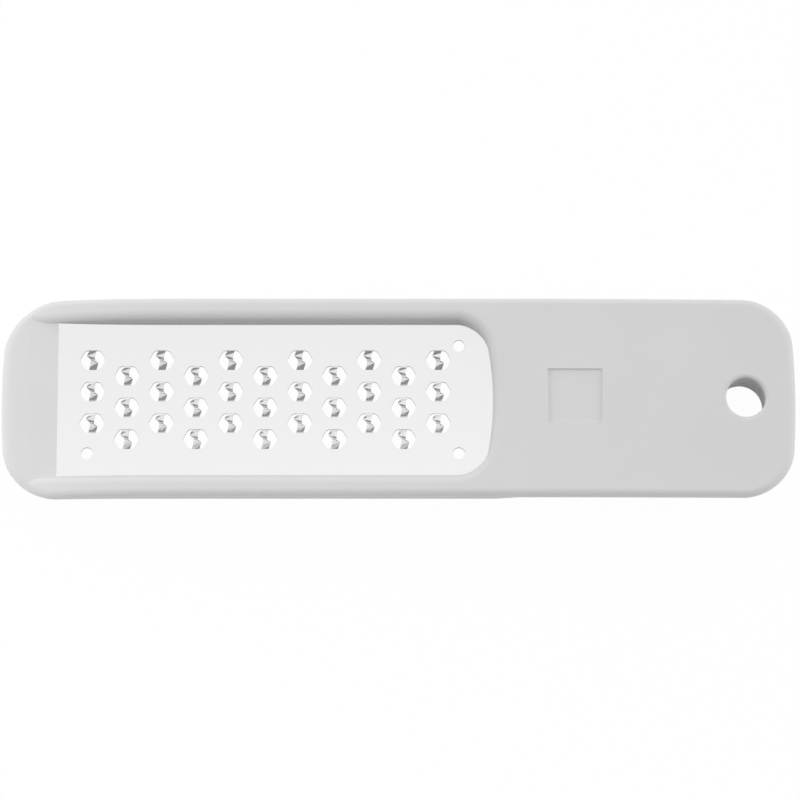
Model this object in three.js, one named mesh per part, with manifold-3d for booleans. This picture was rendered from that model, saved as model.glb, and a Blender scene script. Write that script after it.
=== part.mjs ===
// Flat hand grater: two moulded shells that clamp a stamped steel grating plate between them.
// Millimetres, +Z up. X runs from the nose to the handle end and Y across the body.
// The origin is the middle of the footprint, on the surface that the grater lies on.

import * as THREE from 'three';
import { mergeVertices } from 'three/addons/utils/BufferGeometryUtils.js';
import Module from 'manifold-3d';

const wasm = await Module();
wasm.setup();

// Body
const LENGTH = 160;
const WIDTH = 40.4;
const HEIGHT = 13.5;
const NOSE_CORNER_RADIUS = 10.4; // corners in plan
const HANDLE_CORNER_RADIUS = 9.4;
const END_BOW = 1.3; // how far each end swells past its corners
const EDGE_RADIUS = 1.3; // rounding along the upper edge
const END_EDGE_RUN = 2; // how far in that rounding starts at the two ends
const WALL = 2.2; // moulded wall round the hollow handle
const HOLLOW_FRONT_RADIUS = 5; // the hollow's corners behind the plate
const SEAM_HEIGHT = 5; // where the two shells meet
const SEAM_GAP = 0.1;

// Sides: upright for some way below the top, then rounded in to the underside
const FRAME_SIDE_DEPTH = 2.6;
const FRAME_BELLY_INSET = 5.5;
const HANDLE_SIDE_DEPTH = 1.3;
const HANDLE_BELLY_INSET = 8;
const SIDE_CHANGE_LENGTH = 6; // run over which the frame's side becomes the handle's
const KEEL_CORNER_RADIUS = 0.5; // least corner left in plan on the underside

// Nose
const NOSE_LENGTH = 11.5; // nose tip to the front edge of the plate
const NOSE_FALL_ANGLE = 5; // degrees, from the plate down to the tip
const NOSE_TIP_CURVE_LENGTH = 5; // at the tip its upper face also curves down
const NOSE_TIP_CURVE_RADIUS = 18;
const RAIL_FALL_START = 34; // nose tip to where the rail tops start to fall
const RAIL_FALL_LENGTH = 30; // the rails fall as a quarter of an ellipse of this length and depth
const RAIL_FALL_DEPTH = 7;
const RAIL_END_BLEND = 1; // how softly they run out into the nose
const RUN_OUT_SLOPE = 0.015; // how gently the recess comes out of the nose's upper face

// Recess over the plate
const RAIL_WIDTH = 4.45; // side of the body to the exposed edge of the plate
const EXPOSED_LENGTH = 87.7; // of the plate, along its middle
const PLATE_DEPTH = 4; // rail top to plate top
const RECESS_WALL_ANGLE = 5; // degrees from upright, along the rails
const RECESS_END_SHARE = 0.77; // how far the wall at the handle spreads, against the side walls
const RECESS_EDGE_RADIUS = 1.9;
const RECESS_CORNER_RADIUS = 5.2;
const RECESS_END_BOW = 2.2;

// Grating plate
const PLATE_THICKNESS = 0.5;
const PLATE_MARGIN = 1.7; // held under the rails and the deck
const FLANGE_CLEARANCE = 0.7; // folded front edge to the seam
const FLANGE_SIDE_MARGIN = 2; // end of the fold to the side of the plate
const FIRST_COLUMN = 7; // front edge to the first column of openings
const LAST_COLUMN_MARGIN = 10; // last column to the end of the exposed plate, at least
const COLUMN_PITCH = 6.965;
const ROW_PITCH = 6.5;
const ROWS_PER_COLUMN = 3;
const OPENING_LENGTH = 5.3; // hexagon, point to point along X
const OPENING_WIDTH = 4; // hexagon, flat to flat across Y
const PILOT_DIAMETER = 2.4;
const PILOT_SIDE_MARGIN = 4.7; // pilot hole to the exposed side edge
const PILOT_FRONT_MARGIN = 6.1;
const PILOT_REAR_MARGIN = 6.9;

// Cutting bridge over each opening
const BRIDGE_RISE = 0.95;
const BRIDGE_THICKNESS = 0.4;
const BRIDGE_EMBED = 0.05; // depth of its buried ends below the plate's top
// One half of the bridge, from the opening's edge to the middle. The other half is the same, turned half round.
// Each station has its left and its right edge: x in millimetres, along as a share of half the opening's width
// and rise as a share of BRIDGE_RISE.
const BRIDGE_STATIONS = [
  { left: { x: -0.7, along: 1.12, rise: 0 }, right: { x: 0.75, along: 1.12, rise: 0 } },
  { left: { x: -0.7, along: 1, rise: 0 }, right: { x: 0.75, along: 1, rise: 0 } },
  { left: { x: -1.15, along: 0.39, rise: 1 }, right: { x: 0.5, along: 0.66, rise: 0.7 } },
  { left: { x: -1.12, along: 0.35, rise: 0.98 }, right: { x: 0.4, along: 0.2, rise: 0.6 } },
  { left: { x: -0.42, along: 0.08, rise: 0.32 }, right: { x: 0.45, along: 0.07, rise: 0.5 } },
];

// Window in the lower shell, under the openings
const WINDOW_SIDE_MARGIN = 1.4; // to the exposed edge of the plate
const WINDOW_END_MARGIN = 3.2;
const WINDOW_CORNER_RADIUS = 4;

// Handle details
const HANDLE_CURVE_RADIUS = 1100; // the deck falls very gently towards the handle end
const HANG_SETBACK = 10; // handle end to the middle of the hanging hole
const HANG_DIAMETER = 8;
const HANG_FLARE = 0.6; // mould draft: how much wider in radius the hole is at the underside
const HANG_RIM_RADIUS = 0.8;
const TUBE_WALL = 1.8; // round the hanging hole, inside the handle
const STAMP_SETBACK = 16.4; // end of the exposed plate to the middle of the bare square recess
const STAMP_SIDE = 11.2;
const STAMP_DEPTH = 0.4;

// What locates and joins the shells
const FIT_GAP = 0.2; // round pieces that sit in one another
const CLAMP_GAP = 0.05; // above and below the clamped plate
const PEG_DIAMETER = 2.2;
const PEG_LENGTH = 3;
const NOSE_PEG_LENGTH = 1.6;
const POST_DIAMETER = 5;
const POST_SPREAD = 11; // middle of the body to a handle post
const POST_MARGIN = 6; // handle post to the hollow's front wall, and to the hanging tube
const NOSE_PEG_SPREAD = 12;
const NOSE_PEG_SETBACK = 6.5; // nose tip to the nose pegs
const TONGUE_THICKNESS = 1.2;
const TONGUE_HEIGHT = 1.5;
const SOCKET_END_GAP = 0.3;

// Fineness of round stretches
const CORNER_STEPS = 10;
const END_SHARES = [0, 0.35, 0.7]; // points on half of a bowed end, before its corner
const EDGE_STEPS = 4;
const SIDE_STEPS = 4;
const BELLY_STEPS = 6;
const HOLLOW_STEPS = 6;
const RAIL_STEPS = 8;
const NOSE_STEPS = 12;
const DECK_STEPS = 6;
const SIDE_CHANGE_STEPS = 6;
const ROUND_STEPS = 40;
const PEG_STEPS = 16;
const MERGE_DISTANCE = 1e-5;

// How far a cutter runs past the material that it cuts
const OVERRUN = 2;

// Worked out places
const halfWidth = WIDTH / 2;
const noseTip = -LENGTH / 2;
const handleEnd = LENGTH / 2;
const plateTop = HEIGHT - PLATE_DEPTH;
const plateBottom = plateTop - PLATE_THICKNESS;
const plateFront = noseTip + NOSE_LENGTH;
const exposedEnd = plateFront + EXPOSED_LENGTH;
const exposedHalfWidth = halfWidth - RAIL_WIDTH;
const hollowFront = exposedEnd + PLATE_MARGIN + FIT_GAP + WALL;
const lowerTop = SEAM_HEIGHT - SEAM_GAP;
const hangX = handleEnd - HANG_SETBACK;
const hangRadius = HANG_DIAMETER / 2;
const hangSlope = (hangX - exposedEnd) / HANDLE_CURVE_RADIUS; // how steeply the deck falls at the hanging hole
const tubeRadius = hangRadius + HANG_FLARE + hangSlope * HEIGHT + TUBE_WALL;
const stampX = exposedEnd + STAMP_SETBACK;
const railFallStart = noseTip + RAIL_FALL_START;
const wallLean = Math.tan(THREE.MathUtils.degToRad(RECESS_WALL_ANGLE));

const handlePosts = [];
for (const x of [hollowFront + POST_MARGIN, hangX - tubeRadius - POST_MARGIN]) {
  for (const side of [1, -1]) {
    handlePosts.push({ x, y: side * POST_SPREAD });
  }
}
const nosePegs = [1, -1].map((side) => ({ x: noseTip + NOSE_PEG_SETBACK, y: side * NOSE_PEG_SPREAD }));

// Height of the floor between the rails at x: level along the plate, then falling over the nose
function floorHeight(x) {
  const run = Math.max(0, plateFront - x);
  const tipRun = Math.max(0, noseTip + NOSE_TIP_CURVE_LENGTH - x);
  const fall = run * Math.tan(THREE.MathUtils.degToRad(NOSE_FALL_ANGLE));
  return plateTop - fall - tipRun * tipRun / (2 * NOSE_TIP_CURVE_RADIUS);
}

// Height of the body's top at x: the deck and the rails, which run out into the nose's upper face
function topHeight(x) {
  const deckRun = Math.max(0, x - exposedEnd);
  const railShare = THREE.MathUtils.clamp((railFallStart - x) / RAIL_FALL_LENGTH, 0, 1);
  const railFall = RAIL_FALL_DEPTH * (1 - Math.sqrt(1 - railShare * railShare));
  const rail = HEIGHT - deckRun * deckRun / (2 * HANDLE_CURVE_RADIUS) - railFall;
  const floor = floorHeight(x);
  const near = Math.max(0, RAIL_END_BLEND - Math.abs(rail - floor)) / RAIL_END_BLEND;
  return Math.max(rail, floor) + near * near * RAIL_END_BLEND / 4;
}

// How far a side that is upright down to sideDepth has rounded in at height z
function bellyInset(z, sideDepth, fullInset) {
  const roundStart = HEIGHT - sideDepth;
  const fall = THREE.MathUtils.clamp((roundStart - z) / roundStart, 0, 1);
  return fullInset * (1 - Math.sqrt(1 - fall * fall));
}

// The body's side at height z: the frame's form, turning into the handle's behind the plate
function sideInset(x, z) {
  const frameInset = Math.min(FRAME_BELLY_INSET, NOSE_CORNER_RADIUS - KEEL_CORNER_RADIUS);
  const handleInset = Math.min(HANDLE_BELLY_INSET, HANDLE_CORNER_RADIUS - KEEL_CORNER_RADIUS);
  const frame = bellyInset(z, FRAME_SIDE_DEPTH, frameInset);
  const handle = bellyInset(z, HANDLE_SIDE_DEPTH, handleInset);
  const share = THREE.MathUtils.smoothstep(x, exposedEnd, exposedEnd + SIDE_CHANGE_LENGTH);
  return THREE.MathUtils.lerp(frame, handle, share);
}

// One half of an outline in plan, from the middle of its right end round to the middle of its left end.
// Each point carries its outward direction, so that the outline can be inset. Stations are extra
// points along the side. A left end without a radius is cut square.
function halfOutline({ left, right, side, leftRadius, rightRadius, leftBow = 0, rightBow = 0, stations = [] }) {
  const swell = (bow, y) => bow * (1 - (y / side) ** 2);
  const points = [];
  const rightFlat = side - rightRadius;
  for (const share of END_SHARES) {
    const y = share * rightFlat;
    points.push({ x: right - rightBow + swell(rightBow, y), y, nx: 1, ny: 0 });
  }
  for (let step = 0; step <= CORNER_STEPS; step++) {
    const angle = step / CORNER_STEPS * Math.PI / 2;
    const nx = Math.cos(angle);
    const ny = Math.sin(angle);
    const y = rightFlat + rightRadius * ny;
    points.push({ x: right - rightBow - rightRadius * (1 - nx) + swell(rightBow, y), y, nx, ny });
  }
  const inside = (x) => x < right - rightBow - rightRadius && x > left + leftBow + leftRadius;
  for (const x of stations.filter(inside).sort((a, b) => b - a)) {
    points.push({ x, y: side, nx: 0, ny: 1 });
  }
  if (leftRadius === 0) {
    points.push({ x: left, y: side, nx: 0, ny: 1 });
    points.push({ x: left, y: 0, nx: 0, ny: 0 });
    return points;
  }
  const leftFlat = side - leftRadius;
  for (let step = 0; step <= CORNER_STEPS; step++) {
    const angle = (1 + step / CORNER_STEPS) * Math.PI / 2;
    const nx = Math.cos(angle);
    const ny = Math.sin(angle);
    const y = leftFlat + leftRadius * ny;
    points.push({ x: left + leftBow + leftRadius * (1 + nx) - swell(leftBow, y), y, nx, ny });
  }
  for (const share of END_SHARES.toReversed()) {
    const y = share * leftFlat;
    points.push({ x: left + leftBow - swell(leftBow, y), y, nx: -1, ny: 0 });
  }
  return points;
}

// A whole outline, anticlockwise, from one half of it
function wholeOutline(half) {
  const mirrored = half.slice(1, -1).reverse().map((point) => ({ ...point, y: -point.y, ny: -point.ny }));
  return [...half, ...mirrored];
}

// A closed solid through copies of an outline stacked from the lowest level up.
// place gives the height and the inset of one point of the outline at one level.
function loft(half, levels, place) {
  const outline = wholeOutline(half);
  const count = outline.length;
  const positions = [];
  for (const level of levels) {
    for (const point of outline) {
      const { z, inset } = place(point, level);
      positions.push(point.x - inset * point.nx, point.y - inset * point.ny, z);
    }
  }
  const triangles = [];
  for (let ring = 0; ring + 1 < levels.length; ring++) {
    for (let i = 0; i < count; i++) {
      const next = (i + 1) % count;
      const low = ring * count;
      const high = low + count;
      triangles.push(low + i, low + next, high + next);
      triangles.push(low + i, high + next, high + i);
    }
  }
  // The end faces are strips that join each point to its mirror image
  const top = (levels.length - 1) * count;
  const mirror = (i) => (count - i) % count;
  for (let i = 0; i + 1 < half.length; i++) {
    const strip = [i, i + 1, mirror(i + 1), mirror(i)];
    for (const [a, b, c] of [[0, 1, 2], [0, 2, 3]]) {
      if (strip[a] !== strip[b] && strip[b] !== strip[c] && strip[a] !== strip[c]) {
        triangles.push(top + strip[a], top + strip[b], top + strip[c]);
        triangles.push(strip[a], strip[c], strip[b]);
      }
    }
  }
  const geometry = new THREE.BufferGeometry();
  geometry.setAttribute('position', new THREE.Float32BufferAttribute(positions, 3));
  geometry.setIndex(triangles);
  return solid(geometry);
}

// An upright prism of an outline
function prism(half, low, high) {
  return loft(half, [low, high], (point, z) => ({ z, inset: 0 }));
}

// A solid that can be joined and cut, from a closed geometry
function solid(geometry) {
  geometry.deleteAttribute('normal');
  geometry.deleteAttribute('uv');
  const merged = mergeVertices(geometry, MERGE_DISTANCE);
  return new wasm.Manifold(new wasm.Mesh({
    numProp: 3,
    vertProperties: new Float32Array(merged.attributes.position.array),
    triVerts: new Uint32Array(merged.index.array),
  }));
}

function cylinder(radius, low, high, { x, y }, steps = PEG_STEPS) {
  const geometry = new THREE.CylinderGeometry(radius, radius, high - low, steps);
  geometry.rotateX(Math.PI / 2);
  geometry.translate(x, y, (low + high) / 2);
  return solid(geometry);
}

function block(xLow, xHigh, yLow, yHigh, zLow, zHigh) {
  const geometry = new THREE.BoxGeometry(xHigh - xLow, yHigh - yLow, zHigh - zLow);
  geometry.translate((xLow + xHigh) / 2, (yLow + yHigh) / 2, (zLow + zHigh) / 2);
  return solid(geometry);
}

// The body's outline at its widest
const bodyOutline = halfOutline({
  left: noseTip,
  right: handleEnd,
  side: halfWidth,
  leftRadius: NOSE_CORNER_RADIUS,
  rightRadius: HANDLE_CORNER_RADIUS,
  leftBow: END_BOW,
  rightBow: END_BOW,
  stations: [
    ...evenly(railFallStart, noseTip + NOSE_CORNER_RADIUS + END_BOW, RAIL_STEPS),
    ...evenly(exposedEnd, exposedEnd + SIDE_CHANGE_LENGTH, SIDE_CHANGE_STEPS),
    ...evenly(exposedEnd + SIDE_CHANGE_LENGTH, handleEnd - HANDLE_CORNER_RADIUS - END_BOW, DECK_STEPS).slice(1),
  ],
});

// The plate's exposed outline, open to the nose when it is carried past the tip
function recessOutline(left, margin, stations = []) {
  return halfOutline({
    left,
    right: exposedEnd + margin,
    side: exposedHalfWidth + margin,
    leftRadius: 0,
    rightRadius: RECESS_CORNER_RADIUS + margin,
    rightBow: RECESS_END_BOW,
    stations,
  });
}

function evenly(from, to, steps) {
  return Array.from({ length: steps + 1 }, (_, i) => from + (to - from) * i / steps);
}

// The upper shell's outside: sides that are squeezed under the falling top, and a rounded upper edge
function upperOutside() {
  const edgeStart = HEIGHT - EDGE_RADIUS;
  const levels = evenly(SEAM_HEIGHT, edgeStart, SIDE_STEPS).map((z) => ({ z, edge: 0 }));
  for (let step = 1; step <= EDGE_STEPS; step++) {
    const angle = step / EDGE_STEPS * Math.PI / 2;
    levels.push({ z: edgeStart + EDGE_RADIUS * Math.sin(angle), edge: EDGE_RADIUS * (1 - Math.cos(angle)) });
  }
  return loft(bodyOutline, levels, (point, { z, edge }) => {
    const edgeShare = 1 + (END_EDGE_RUN / EDGE_RADIUS - 1) * point.nx * point.nx;
    const inset = edge * edgeShare + sideInset(point.x, z);
    const fall = HEIGHT - topHeight(point.x - inset * point.nx);
    const fallShare = Math.min(1, (z - SEAM_HEIGHT) / (edgeStart - SEAM_HEIGHT));
    return { z: z - fall * fallShare, inset };
  });
}

// The lower shell's outside: the rounded belly, finest where it turns under
function lowerOutside() {
  const levels = evenly(0, 1, BELLY_STEPS).map((share) => lowerTop * share * share);
  return loft(bodyOutline, levels, (point, z) => ({ z, inset: sideInset(point.x, z) }));
}

// The space over the plate: leaning walls with a rounded upper edge, open at the nose,
// over a floor that comes out of the nose's upper face
function recessSpace() {
  const lean = THREE.MathUtils.degToRad(RECESS_WALL_ANGLE);
  const turn = Math.PI / 2 - lean;
  const tangent = RECESS_EDGE_RADIUS * Math.tan(turn / 2);
  const edgeOutset = PLATE_DEPTH * wallLean + tangent;
  const levels = [{ z: SEAM_HEIGHT, outset: (SEAM_HEIGHT - plateTop) * wallLean }];
  for (let step = 0; step <= EDGE_STEPS; step++) {
    const angle = lean + turn * step / EDGE_STEPS;
    levels.push({
      z: HEIGHT - RECESS_EDGE_RADIUS * (1 - Math.sin(angle)),
      outset: edgeOutset - RECESS_EDGE_RADIUS * Math.cos(angle),
    });
  }
  levels.push({ z: HEIGHT + OVERRUN, outset: edgeOutset });
  const stations = [
    ...evenly(railFallStart, plateFront, RAIL_STEPS),
    ...evenly(plateFront, noseTip, NOSE_STEPS).slice(1),
  ];
  const walls = loft(recessOutline(noseTip - OVERRUN, 0, stations), levels, (point, { z, outset }) => {
    const fall = HEIGHT - topHeight(point.x);
    const endShare = 1 - (1 - RECESS_END_SHARE) * point.nx * point.nx;
    return { z: z - fall, inset: (fall * wallLean - outset) * endShare };
  });

  const floorSide = new THREE.Shape([
    new THREE.Vector2(exposedEnd + WIDTH, -HEIGHT),
    new THREE.Vector2(exposedEnd + WIDTH, plateTop),
    ...evenly(plateFront, noseTip - 2 * OVERRUN, 2 * NOSE_STEPS).map(
      (x) => new THREE.Vector2(x, floorHeight(x) + (plateFront - x) * RUN_OUT_SLOPE),
    ),
    new THREE.Vector2(noseTip - 2 * OVERRUN, -HEIGHT),
  ]);
  const floor = new THREE.ExtrudeGeometry(floorSide, { depth: 2 * WIDTH, bevelEnabled: false });
  floor.rotateX(Math.PI / 2);
  floor.translate(0, WIDTH, 0);
  return walls.subtract(solid(floor));
}

// The hollow inside the handle between two heights
function handleHollow(low, high) {
  const outline = halfOutline({
    left: hollowFront,
    right: handleEnd - WALL,
    side: halfWidth - WALL,
    leftRadius: HOLLOW_FRONT_RADIUS,
    rightRadius: HANDLE_CORNER_RADIUS - WALL,
    rightBow: END_BOW,
  });
  const levels = evenly(low, high, HOLLOW_STEPS);
  return loft(outline, levels, (point, z) => ({ z, inset: sideInset(handleEnd, z) }));
}

// The hanging hole, square to the falling deck, rounded at both rims and wider at the underside
function hangingHole() {
  const rimPoint = (radius, z, angle, up) => new THREE.Vector2(
    radius + HANG_RIM_RADIUS * (1 - Math.cos(angle)),
    z + up * HANG_RIM_RADIUS * Math.sin(angle),
  );
  const lowRadius = hangRadius + HANG_FLARE;
  const lowWidest = lowRadius + HANG_RIM_RADIUS;
  const highWidest = hangRadius + HANG_RIM_RADIUS;
  const deck = topHeight(hangX);
  const angles = evenly(0, Math.PI / 2, EDGE_STEPS);
  const profile = [
    new THREE.Vector2(0, -OVERRUN),
    new THREE.Vector2(lowWidest, -OVERRUN),
    ...angles.toReversed().map((angle) => rimPoint(lowRadius, HANG_RIM_RADIUS, angle, -1)),
    ...angles.map((angle) => rimPoint(hangRadius, deck - HANG_RIM_RADIUS, angle, 1)),
    new THREE.Vector2(highWidest, HEIGHT + OVERRUN),
    new THREE.Vector2(0, HEIGHT + OVERRUN),
  ];
  const geometry = new THREE.LatheGeometry(profile, ROUND_STEPS);
  geometry.rotateX(Math.PI / 2);
  geometry.applyMatrix4(new THREE.Matrix4().makeShear(0, 0, 0, 0, hangSlope, 0));
  geometry.translate(hangX - hangSlope * deck, 0, 0);
  return solid(geometry);
}

// The seat under the rails that takes the plate's margin and the lower shell's plinth
function plateSeat() {
  const outline = recessOutline(plateFront - CLAMP_GAP, PLATE_MARGIN + FIT_GAP);
  return prism(outline, SEAM_HEIGHT - OVERRUN, plateTop + CLAMP_GAP);
}

function upperShell() {
  let hollow = handleHollow(SEAM_HEIGHT - OVERRUN, topHeight(handleEnd) - WALL);
  hollow = hollow.subtract(cylinder(tubeRadius, 0, HEIGHT, { x: hangX, y: 0 }, ROUND_STEPS));
  for (const post of handlePosts) {
    hollow = hollow.subtract(cylinder(POST_DIAMETER / 2, 0, HEIGHT, post));
  }
  let shell = upperOutside().subtract(recessSpace()).subtract(plateSeat()).subtract(hollow);
  shell = shell.subtract(hangingHole());
  const socketRadius = PEG_DIAMETER / 2 + FIT_GAP;
  for (const post of handlePosts) {
    shell = shell.subtract(cylinder(socketRadius, 0, SEAM_HEIGHT + PEG_LENGTH + SOCKET_END_GAP, post));
  }
  for (const peg of nosePegs) {
    shell = shell.subtract(cylinder(socketRadius, 0, SEAM_HEIGHT + NOSE_PEG_LENGTH + SOCKET_END_GAP, peg));
  }
  const stampHalf = STAMP_SIDE / 2;
  const stampFloor = topHeight(stampX) - STAMP_DEPTH;
  const stamp = block(
    stampX - stampHalf, stampX + stampHalf, -stampHalf, stampHalf, stampFloor, HEIGHT + OVERRUN,
  );
  return shell.subtract(stamp);
}

function lowerShell() {
  const plinthFront = plateFront + PLATE_THICKNESS + FIT_GAP;
  const plinth = prism(recessOutline(plinthFront, PLATE_MARGIN), SEAM_HEIGHT / 2, plateBottom - CLAMP_GAP);
  const window = prism(halfOutline({
    left: plateFront + WINDOW_END_MARGIN,
    right: exposedEnd - WINDOW_END_MARGIN,
    side: exposedHalfWidth - WINDOW_SIDE_MARGIN,
    leftRadius: WINDOW_CORNER_RADIUS,
    rightRadius: WINDOW_CORNER_RADIUS,
  }), -OVERRUN, HEIGHT);

  let hollow = handleHollow(WALL, SEAM_HEIGHT + OVERRUN);
  hollow = hollow.subtract(cylinder(tubeRadius, 0, HEIGHT, { x: hangX, y: 0 }, ROUND_STEPS));
  for (const post of handlePosts) {
    hollow = hollow.subtract(cylinder(POST_DIAMETER / 2, 0, HEIGHT, post));
  }
  let shell = lowerOutside().subtract(hollow).add(plinth).subtract(window).subtract(hangingHole());
  const pegRadius = PEG_DIAMETER / 2;
  for (const post of handlePosts) {
    shell = shell.add(cylinder(pegRadius, WALL, SEAM_HEIGHT + PEG_LENGTH, post));
  }
  for (const peg of nosePegs) {
    shell = shell.add(cylinder(pegRadius, WALL, SEAM_HEIGHT + NOSE_PEG_LENGTH, peg));
  }
  // Tongues that stand inside the upper shell's side walls, between the handle posts
  const tongueOuter = halfWidth - WALL - sideInset(handleEnd, SEAM_HEIGHT) - FIT_GAP;
  const tongueInner = tongueOuter - TONGUE_THICKNESS;
  const [tongueFront, tongueRear] = [handlePosts.at(0).x, handlePosts.at(-1).x];
  for (const side of [1, -1]) {
    const [near, far] = [side * tongueInner, side * tongueOuter].sort((a, b) => a - b);
    shell = shell.add(block(tongueFront, tongueRear, near, far, WALL, SEAM_HEIGHT + TONGUE_HEIGHT));
  }
  return shell;
}

// One S-shaped bridge that spans an opening at the origin from flat to flat, with its top at z = 0 at its ends
function cuttingBridge() {
  const edgePoint = ({ x, along, rise }, depth) => (
    [x, along * OPENING_WIDTH / 2, rise * BRIDGE_RISE - BRIDGE_EMBED - depth]
  );
  const turned = ({ x, along, rise }) => ({ x: -x, along: -along, rise });
  const otherHalf = BRIDGE_STATIONS.toReversed().map(
    ({ left, right }) => ({ left: turned(right), right: turned(left) }),
  );
  const stations = [...BRIDGE_STATIONS, ...otherHalf];
  const positions = stations.flatMap(({ left, right }) => [
    ...edgePoint(left, 0),
    ...edgePoint(right, 0),
    ...edgePoint(right, BRIDGE_THICKNESS),
    ...edgePoint(left, BRIDGE_THICKNESS),
  ]);
  // The upper and the lower face are folded along the same diagonals, so that the sheet keeps its thickness
  const triangles = [];
  for (let ring = 0; ring + 1 < stations.length; ring++) {
    for (const i of [0, 1, 2, 3]) {
      const a = ring * 4 + i;
      const b = ring * 4 + (i + 1) % 4;
      if (i === 2) {
        triangles.push(a, a + 4, b + 4, a, b + 4, b);
      } else {
        triangles.push(a, a + 4, b, b, a + 4, b + 4);
      }
    }
  }
  const last = (stations.length - 1) * 4;
  triangles.push(0, 1, 2, 0, 2, 3);
  triangles.push(last, last + 2, last + 1, last, last + 3, last + 2);
  const geometry = new THREE.BufferGeometry();
  geometry.setAttribute('position', new THREE.Float32BufferAttribute(positions, 3));
  geometry.setIndex(triangles);
  return geometry;
}

// Middles of the openings: alternate columns step half a row up and down
function openingPlaces() {
  const columns = Math.floor((EXPOSED_LENGTH - FIRST_COLUMN - LAST_COLUMN_MARGIN) / COLUMN_PITCH) + 1;
  const places = [];
  for (let column = 0; column < columns; column++) {
    const stagger = (column % 2 === 0 ? 1 : -1) * ROW_PITCH / 4;
    for (let row = 0; row < ROWS_PER_COLUMN; row++) {
      places.push({
        x: plateFront + FIRST_COLUMN + column * COLUMN_PITCH,
        y: stagger + ((ROWS_PER_COLUMN - 1) / 2 - row) * ROW_PITCH,
      });
    }
  }
  return places;
}

function gratingPlate() {
  const shape = new THREE.Shape(wholeOutline(recessOutline(plateFront, PLATE_MARGIN)));
  const halfLength = OPENING_LENGTH / 2;
  const halfFlat = OPENING_WIDTH / 2;
  // Sides of the hexagon that slope at 60 degrees
  const flatEnd = halfLength - halfFlat / Math.tan(Math.PI / 3);
  const places = openingPlaces();
  for (const { x, y } of places) {
    shape.holes.push(new THREE.Path([
      new THREE.Vector2(x + halfLength, y),
      new THREE.Vector2(x + flatEnd, y - halfFlat),
      new THREE.Vector2(x - flatEnd, y - halfFlat),
      new THREE.Vector2(x - halfLength, y),
      new THREE.Vector2(x - flatEnd, y + halfFlat),
      new THREE.Vector2(x + flatEnd, y + halfFlat),
    ]));
  }
  const geometry = new THREE.ExtrudeGeometry(shape, { depth: PLATE_THICKNESS, bevelEnabled: false });
  geometry.translate(0, 0, plateBottom);
  let plate = solid(geometry);

  // One pilot hole by the nose and two by the handle
  const pilotY = exposedHalfWidth - PILOT_SIDE_MARGIN;
  const pilots = [
    { x: plateFront + PILOT_FRONT_MARGIN, y: -pilotY },
    { x: exposedEnd - PILOT_REAR_MARGIN, y: pilotY },
    { x: exposedEnd - PILOT_REAR_MARGIN, y: -pilotY },
  ];
  for (const pilot of pilots) {
    plate = plate.subtract(cylinder(PILOT_DIAMETER / 2, 0, HEIGHT, pilot));
  }

  // Front edge folded down between the nose and the plinth
  const flangeHalf = exposedHalfWidth + PLATE_MARGIN - FLANGE_SIDE_MARGIN;
  const flangeFoot = SEAM_HEIGHT + FLANGE_CLEARANCE;
  const flangeBack = plateFront + PLATE_THICKNESS;
  plate = plate.add(block(plateFront, flangeBack, -flangeHalf, flangeHalf, flangeFoot, plateTop));

  for (const { x, y } of places) {
    plate = plate.add(solid(cuttingBridge().translate(x, y, plateTop)));
  }
  return plate;
}

function piece(name, body, look) {
  const { vertProperties, triVerts } = body.getMesh();
  const geometry = new THREE.BufferGeometry();
  geometry.setAttribute('position', new THREE.BufferAttribute(vertProperties, 3));
  geometry.setIndex(new THREE.BufferAttribute(triVerts, 1));
  const mesh = new THREE.Mesh(geometry, new THREE.MeshStandardMaterial({ flatShading: true, ...look }));
  mesh.name = name;
  return mesh;
}

const plastic = { color: 0xcfcfcf, roughness: 0.55, metalness: 0 };
const steel = { color: 0xe4e4e2, roughness: 0.25, metalness: 1 };

const grater = new THREE.Group();
grater.name = 'flat_grater';
grater.add(piece('upper_shell', upperShell(), plastic));
grater.add(piece('lower_shell', lowerShell(), plastic));
grater.add(piece('grating_plate', gratingPlate(), steel));

export default grater;
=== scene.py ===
# Flat hand grater: the finish of its two moulded shells and its stamped plate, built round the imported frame.
# Metres, +Z up. X runs from the nose to the handle end and Y across the body.

import math
from typing import NamedTuple

import bpy
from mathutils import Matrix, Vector


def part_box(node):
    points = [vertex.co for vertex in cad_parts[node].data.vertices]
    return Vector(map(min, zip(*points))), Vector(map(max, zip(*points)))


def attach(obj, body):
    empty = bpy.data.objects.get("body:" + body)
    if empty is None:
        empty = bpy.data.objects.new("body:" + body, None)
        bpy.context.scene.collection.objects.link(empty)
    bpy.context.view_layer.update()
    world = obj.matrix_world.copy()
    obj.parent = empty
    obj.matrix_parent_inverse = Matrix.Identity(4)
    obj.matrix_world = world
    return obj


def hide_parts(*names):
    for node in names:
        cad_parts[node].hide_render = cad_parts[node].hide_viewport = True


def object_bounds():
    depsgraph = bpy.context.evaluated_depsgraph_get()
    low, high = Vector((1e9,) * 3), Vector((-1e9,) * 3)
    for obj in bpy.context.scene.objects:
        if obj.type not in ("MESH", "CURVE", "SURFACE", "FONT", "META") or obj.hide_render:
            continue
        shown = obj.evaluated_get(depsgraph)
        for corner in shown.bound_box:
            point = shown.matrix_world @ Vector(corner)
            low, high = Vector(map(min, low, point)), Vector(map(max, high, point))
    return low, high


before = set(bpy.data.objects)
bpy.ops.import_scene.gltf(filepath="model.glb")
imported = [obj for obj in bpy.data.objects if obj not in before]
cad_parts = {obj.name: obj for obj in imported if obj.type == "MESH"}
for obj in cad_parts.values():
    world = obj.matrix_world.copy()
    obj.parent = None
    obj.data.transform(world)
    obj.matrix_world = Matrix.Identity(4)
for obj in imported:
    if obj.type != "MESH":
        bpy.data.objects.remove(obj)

# Places that the frame gives
cad_low, cad_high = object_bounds()
plate_low, plate_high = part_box("grating_plate")
NOSE_TIP = cad_low.x
HANDLE_END = cad_high.x
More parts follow.
